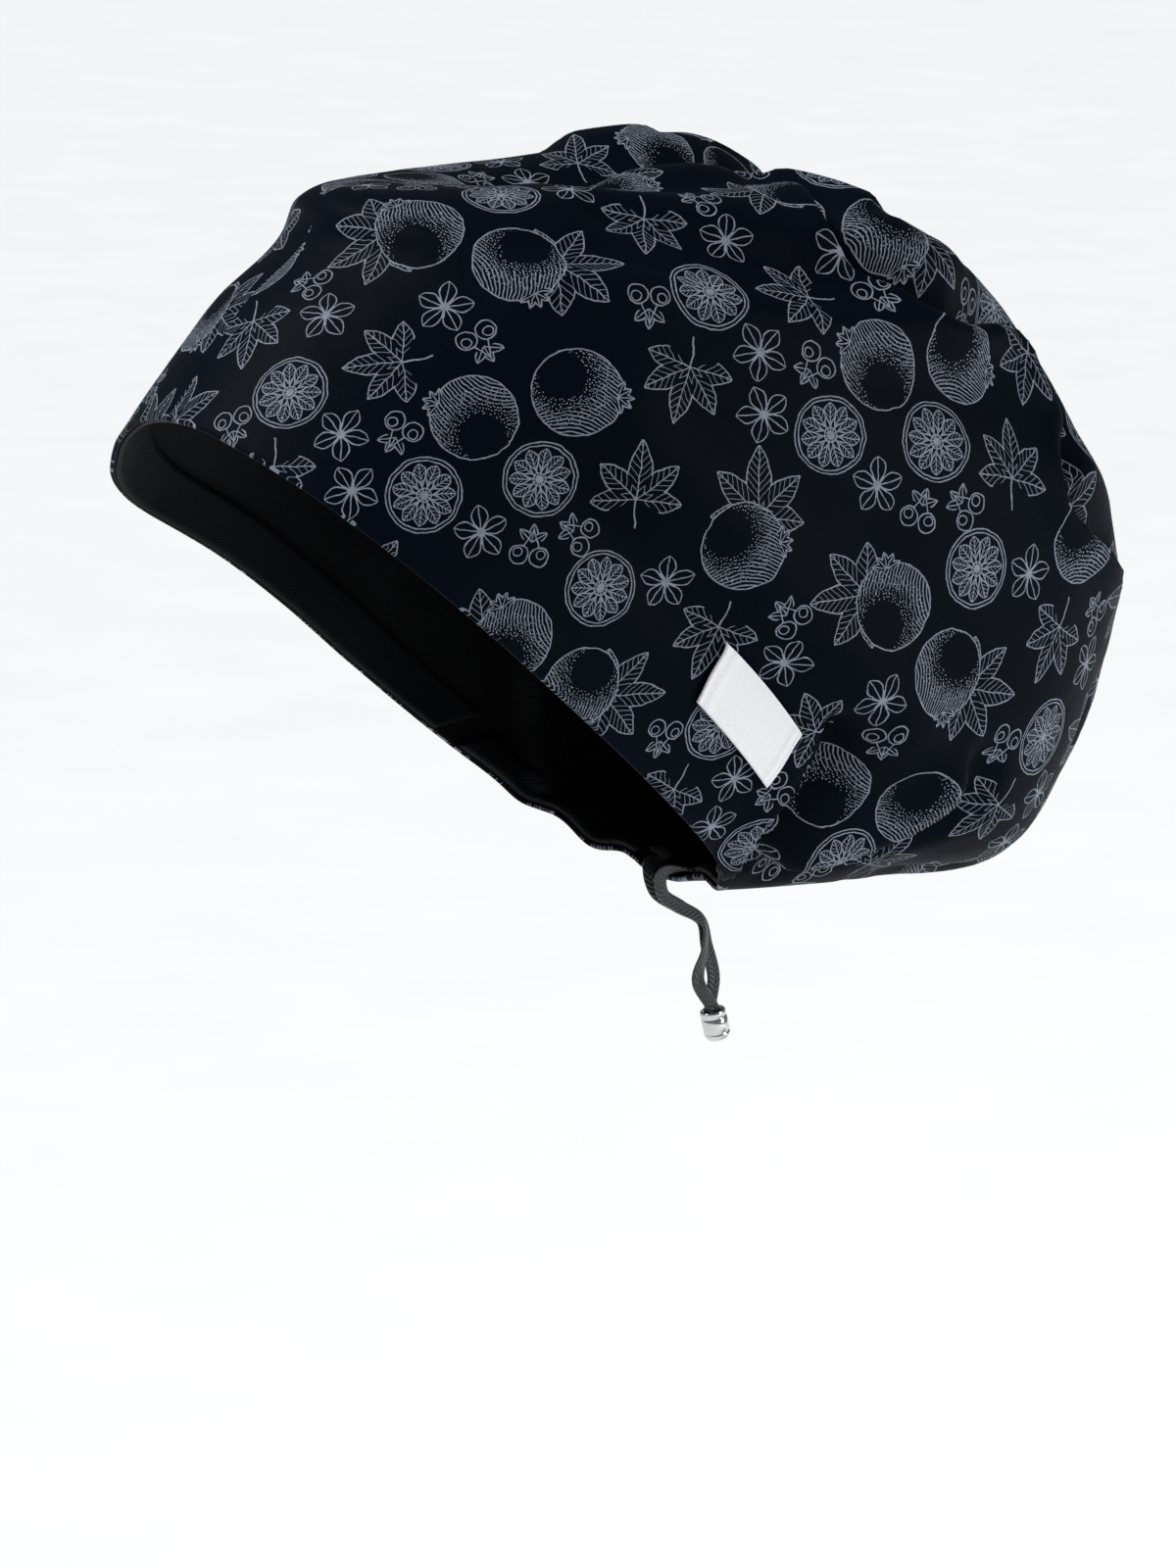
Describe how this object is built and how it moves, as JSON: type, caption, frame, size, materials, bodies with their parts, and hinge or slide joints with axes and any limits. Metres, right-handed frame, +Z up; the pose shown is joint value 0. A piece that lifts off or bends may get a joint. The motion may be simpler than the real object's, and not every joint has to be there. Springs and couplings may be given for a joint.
{
  "type": "scrub cap",
  "caption": "Slouching cloth scrub cap with a gathered nape, printed crown, blank side label and a drawcord ending in a metal bead.",
  "frame": {"origin": "middle of the sloping head opening, halfway between the front rim and the nape", "axes": "+Z up, -Y the way the wearer faces, +X the wearer's left side"},
  "size_m": [0.1835, 0.297, 0.2665],
  "materials": {
    "printed_cotton": "woven cotton, near-black navy with a fine pale blue line print of fruit, sprigs and blossoms",
    "plain_cotton": "plain black woven cotton",
    "woven_label": "white woven satin, blank",
    "flat_braid": "black flat braided cord",
    "polished_metal": "polished nickel plate"
  },
  "bodies": {
    "root": {"crown": "printed_cotton", "rim_facing": "plain_cotton", "nape_channel_left": "plain_cotton", "nape_channel_right": "plain_cotton", "side_label": "woven_label", "drawcord_left": "flat_braid", "drawcord_right": "flat_braid", "cord_bead": "polished_metal"}
  },
  "joints": []
}
